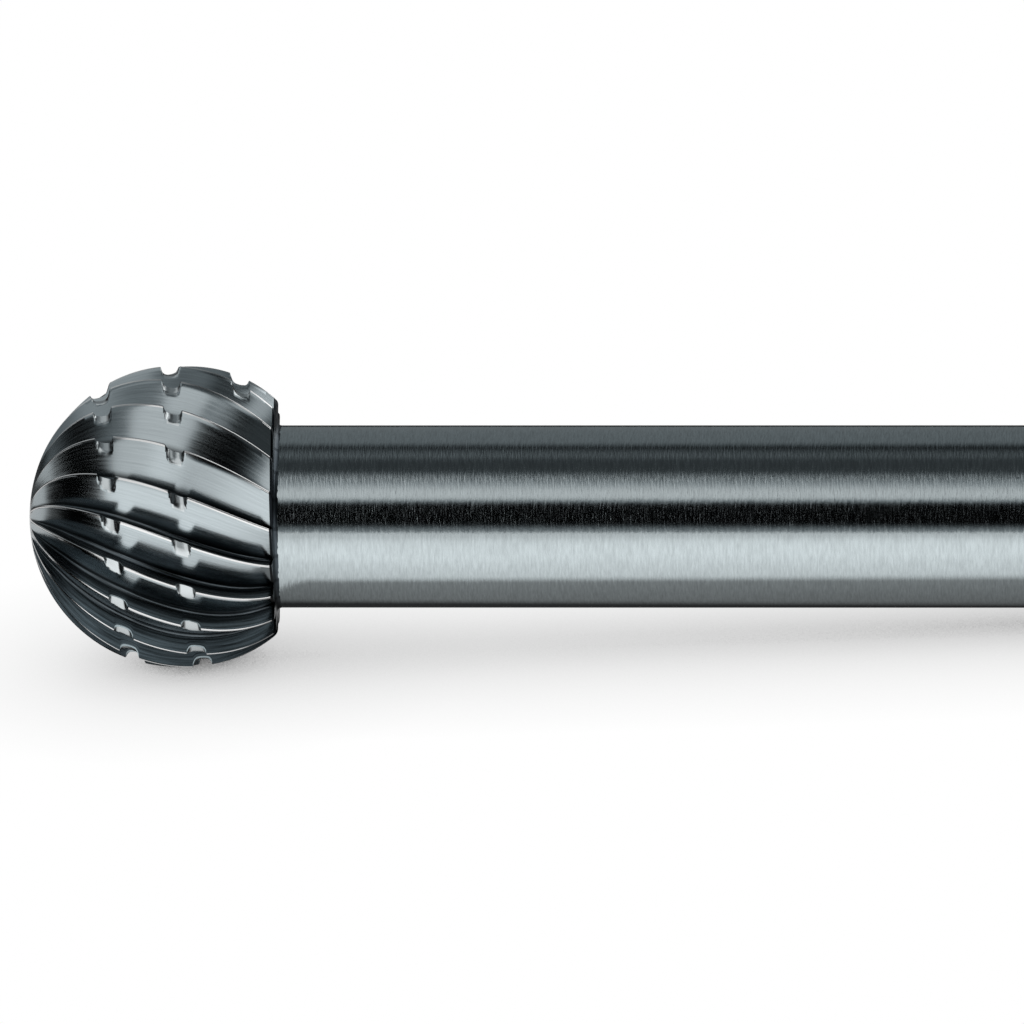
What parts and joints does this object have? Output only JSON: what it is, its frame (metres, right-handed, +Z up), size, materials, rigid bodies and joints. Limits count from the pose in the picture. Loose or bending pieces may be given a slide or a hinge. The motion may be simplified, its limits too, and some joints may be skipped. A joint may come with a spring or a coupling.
{
  "type": "rotary burr",
  "caption": "Ball-shaped rotary burr ground from one bar: right-hand helical teeth with staggered chip-breaker notches, flat back and a plain round shank.",
  "frame": {"origin": "on the bench under the middle of the burr's bounding box, as it lies on two neighbouring teeth and the far end of its shank", "axes": "+Z up from the bench, +X level along the burr from the ball towards the shank's free end; the burr's own axis dips 2.6 degrees below +X towards that end"},
  "size_m": [0.049, 0.01, 0.0099],
  "materials": {
    "high_speed_steel": "ground, dark grey, fine grain along the turning direction"
  },
  "bodies": {
    "root": {"burr": "high_speed_steel"}
  },
  "joints": []
}
